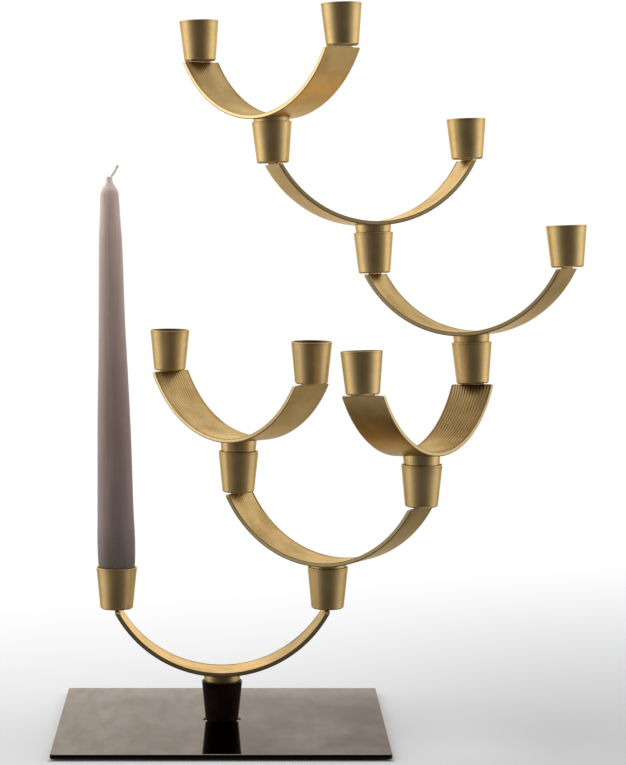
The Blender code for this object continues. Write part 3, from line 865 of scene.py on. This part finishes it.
def wick_shape():
    """A braided wick: three strands wound round a line that bends over towards +X."""
    low, base = CANDLE_HEIGHT - 4.0, CANDLE_HEIGHT + 0.2

    def centre(t):
        """A point of the line, which leaves the wax at t = 0 and ends at t = 1."""
        if t < 0:
            return Vector((1.5 + 1.5 * t, 0, base + t * (base - low)))
        kink = math.sqrt((t - 0.5) ** 2 + 0.004)
        x = 1.85 + 3.9 * t - 0.65 * kink
        return Vector((x, 0.15 * math.sin(4 * t), base + (WICK_HEIGHT + 0.1) * t))

    def radius(t, a):
        """The wick's radius at the angle a: three strands, a swell, and a rounded end."""
        strand = 0.78 + 0.22 * abs(math.cos(1.5 * a + 14 * t)) ** 0.7
        swell = 1.40 + 0.12 * math.cos(13 * (t - 0.42))
        end = max(0.0, (t - 0.93) / 0.07)
        r = WICK_RADIUS * swell * strand * math.sqrt(max(0.05, 1 - end**2 * 0.9))
        return min(r, 0.6) if t < 0 else r

    steps, sides, across = 90, 20, Vector((0, 1, 0))
    angles = [math.tau * k / sides for k in range(sides)]
    mesh, loops = bmesh.new(), []
    for i in range(steps + 1):
        t = -0.9 + 1.9 * i / steps
        ahead = (centre(t + 0.01) - centre(t - 0.01)).normalized()
        up = ahead.cross(across).normalized()
        spokes = [(across * math.cos(a) + up * math.sin(a)) * radius(t, a) for a in angles]
        loops.append([mesh.verts.new(centre(t) + spoke) for spoke in spokes])
    for a, b in zip(loops, loops[1:]):
        skin(mesh, a, b)
    mesh.faces.new(loops[0])
    mesh.faces.new(loops[-1])
    return read_out(mesh)


# ---------------------------------------------------------------- building and placing
def shift(matrix, x, y, z):
    """The matrix, moved by millimetres along its own axes."""
    return matrix @ Matrix.Translation(Vector((x, y, z)) * MM)


def turned(degrees, axis):
    """A turn about an axis."""
    return Matrix.Rotation(math.radians(degrees), 4, axis)


def leaning(degrees, heading):
    """A lean over towards a heading, both in degrees."""
    heading = math.radians(heading)
    return turned(degrees, Vector((-math.sin(heading), math.cos(heading), 0.0)))


def piece(name, shape, matrix, look, body, node, sharp=35.0):
    """A piece of the object, which rides on a body and replaces a node of the CAD."""
    obj = new_object(name, *shape, matrix, look, sharp)
    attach(obj, body)
    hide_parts(node)
    return obj


identity = Matrix.Identity(4)
base_place = shift(identity, 0, 0, PLATE_TOP - RECESS_DEPTH + BASE_CUP_DROP)
base_cup = cup_shape(drop=BASE_CUP_DROP)
piece("plate", plate_shape(), identity, BRONZE, "base", "base_plate")
piece("cup_of_base", base_cup, base_place, BLACK, "base", "base_cup")

cup, spigot, screw = cup_shape(sink=CUP_SINK), spigot_shape(), screw_shape()
seats = {"base": (shift(base_place, 0, 0, CUP_HEIGHT), 0.0)}  # the rim of each cup, and its heading
for number, (below, heading, stand_off, painted_light_factors) in ARMS.items():
    seat, seat_heading = seats[below]
    turn = turned(heading - seat_heading, "Z")
    if number == LEANING_ARM:
        turn = leaning(LEAN, LEAN_HEADING - seat_heading) @ turn
    low, body = shift(seat @ turn, 0, 0, stand_off), f"arm_{number}"
    ribbed = strap_shape(number)
    strap = piece(
        f"ribbed_strap_{number}", ribbed, low, STRAP_BRASS, body, f"strap_{number}"
    )
    strap["painted_light_factor"], strap["painted_edge_light_factor"] = painted_light_factors[:3], painted_light_factors[3]
    piece(f"plug_{number}", spigot, low, PLUG_BRASS, body, f"spigot_{number}")
    piece(
        f"cap_screw_{number}", screw, low, STEEL, f"seat_{number}", f"spigot_screw_{number}"
    )
    for side, hand in ((-1, "left"), (1, "right")):
        place = shift(low, side * HALF_SPAN, 0, STRAP_RISE + CUP_LIFT)
        end = f"{number}_{hand}"
        piece(f"turned_cup_{end}", cup, place, CUP_BRASS, body, f"cup_{end}")
        seats[end] = (shift(place, 0, 0, CUP_HEIGHT), heading)

seat, seat_heading = seats["1_left"]
candle = seat @ leaning(CANDLE_LEAN, 180 - seat_heading)
piece("taper", candle_shape(), candle, WAX, "candle", "candle_wax", sharp=50.0)
piece("braided_wick", wick_shape(), candle, COTTON, "candle", "candle_wick", sharp=80.0)

for node, look, slot in (("base_felt", FELT, "dark_felt"), ("base_screw", STEEL, "screw_steel")):
    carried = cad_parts[node]
    carried.data.materials.clear()
    carried.data.materials.append(look)


# ---------------------------------------------------------------- floor, light and camera
def floor_look():
    """Pale grey near the object that fades to white at the back."""
    n = Nodes("Studio_floor")
    x, y, _ = n.xyz()
    # painted light: the floor's grey is darker to the right, and a patch beside the plate's right side
    # is painted lighter
    grey = n.mix(n.between_mm(x, 0.0, 260.0), (0.465, 0.465, 0.47), (0.385, 0.387, 0.393))
    painted_light_patch = n.product(
        n.between_mm(y, -20.0, 70.0, 1.0, 0.0),
        n.between_mm(y, -130.0, -60.0, 0.3, 1.0),
        n.band(x, (0.0, 90.0), (130.0, 210.0)),
    )
    grey = n.mix(painted_light_patch, grey, (0.485, 0.486, 0.49))
    # a painted shadow: the dark line under the plate's front edge
    half = PLATE_SIDE / 2
    ahead = n.between_mm(y, -half - 4.5, -half, 1.0, 0.0)
    beside = n.between_mm(n.math("ABSOLUTE", x), half, half + 1.5)
    clear = n.most(ahead, n.most(beside, n.between_mm(y, -half, -half + 1.0)))
    n.set(Base_Color=n.mix(clear, (0.15, 0.15, 0.15), grey), Roughness=0.7, Specular_IOR_Level=0.2)
    backward = n.math("SUBTRACT", y, n.product(x, 0.36))
    white = n.add("ShaderNodeEmission", {"Strength": 1.02})
    inputs = {0: n.between_mm(backward, -120.0, 640.0), 1: n.shader.outputs[0], 2: white.outputs[0]}
    mixer = n.add("ShaderNodeMixShader", inputs)
    n.put(n.tree.nodes["Material Output"].inputs["Surface"], mixer.outputs[0])
    return n.material


def studio_floor():
    """A wide level floor just under the felt, which the metal doesn't mirror."""
    size, z = 6.0, -0.0001
    mesh = bpy.data.meshes.new("floor")
    corners = [(-size, -size, z), (size, -size, z), (size, size, z), (-size, size, z)]
    mesh.from_pydata(corners, [], [(0, 1, 2, 3)])
    mesh.materials.append(floor_look())
    floor = linked("floor", mesh)
    floor.visible_glossy = False


def studio_world():
    """White to the eye. The metal sees a bright backdrop, a tall soft light on either side,
    and a dark room in front."""
    world = bpy.data.worlds.new("Studio")
    bpy.context.scene.world = world
    world.use_nodes = True
    n = Nodes(tree=world.node_tree)
    x, y, z = n.xyz(n.add("ShaderNodeTexCoord").outputs["Generated"])
    flat = n.length(x, y)
    safe = n.most(flat, 0.001)
    front = n.math("DIVIDE", n.product(y, -1.0), safe)
    turn = n.math("MULTIPLY_ADD", front, 0.5, 0.5)  # 0 behind the object, 1 in front of it

    def greys(*stops):
        return n.ramp(turn, *((at, (grey, grey, grey)) for at, grey in stops))

    low = greys(
        (0.0, 0.72), (0.10, 0.26), (0.2, 0.22), (0.36, 0.36), (0.5, 0.56),
        (0.63, 0.58), (0.75, 0.46), (0.86, 0.26), (0.94, 0.15), (1.0, 0.13),
    )
    middle = greys(
        (0.0, 1.80), (0.11, 0.76), (0.22, 0.84), (0.36, 2.00), (0.46, 2.50), (0.58, 1.90),
        (0.70, 1.05), (0.80, 0.45), (0.88, 0.20), (0.95, 0.12), (1.0, 0.10),
    )
    high = greys(
        (0.0, 1.50), (0.12, 1.45), (0.26, 1.40), (0.44, 1.80), (0.6, 1.20),
        (0.74, 0.55), (0.86, 0.24), (0.94, 0.14), (1.0, 0.11),
    )
    sky = n.mix(n.between(z, -0.38, -0.08), low, middle)
    sky = n.mix(n.between(z, -0.05, 0.07), sky, high)
    right = n.between(n.math("DIVIDE", x, safe), -0.2, 0.95)
    sky = n.mix(right, sky, (0.86, 0.86, 0.86), "MULTIPLY")
    sky = n.mix(n.between(z, 0.45, 0.95), sky, (0.75, 0.75, 0.75))
    under = n.mix(right, (0.40, 0.39, 0.375), (0.62, 0.605, 0.58))
    sky = n.mix(n.between(z, -0.95, -0.5), under, sky)
    seen = n.add("ShaderNodeLightPath").outputs["Is Camera Ray"]
    background = world.node_tree.nodes["Background"]
    n.put(background.inputs["Color"], n.mix(seen, sky, (1.05, 1.05, 1.05)))
    background.inputs["Strength"].default_value = 1.0


def soft_light(name, width, height, power, place, target):
    """A softbox that lights the wax and the floor, and isn't mirrored in the metal."""
    data = bpy.data.lights.new(name, "AREA")
    data.shape = "RECTANGLE"
    data.size, data.size_y, data.energy = width, height, power
    light = linked(name, data)
    light.location = place
    light.rotation_euler = (Vector(target) - Vector(place)).to_track_quat("-Z", "Y").to_euler()
    light.visible_camera = light.visible_glossy = False


def photo_camera(lens, place, heading, pitch, roll):
    """A camera with a 36 mm sensor. Its place is in metres, and its angles are in degrees."""
    data = bpy.data.cameras.new("camera")
    data.sensor_width, data.lens = 36.0, lens
    data.clip_start, data.clip_end = 0.05, 50.0
    camera = linked("camera", data)
    aim = turned(heading, "Z") @ turned(90 + pitch, "X") @ turned(roll, "Z")
    camera.matrix_world = Matrix.Translation(place) @ aim
    bpy.context.scene.camera = camera


studio_floor()
studio_world()
soft_light("left_light", 1.0, 1.2, 8.0, (-1.3, 0.35, 0.8), (0, 0, 0.2))
soft_light("right_light", 1.0, 1.2, 9.0, (1.4, 0.35, 0.8), (0, 0, 0.2))
soft_light("top_light", 1.6, 1.4, 16.0, (-0.2, 0.1, 1.6), (0, 0, 0))
bpy.context.scene.view_settings.view_transform = "Standard"
photo_camera(136.14, (0.00453, -1.76101, 0.36976), heading=-1.641, pitch=-5.10, roll=0.347)
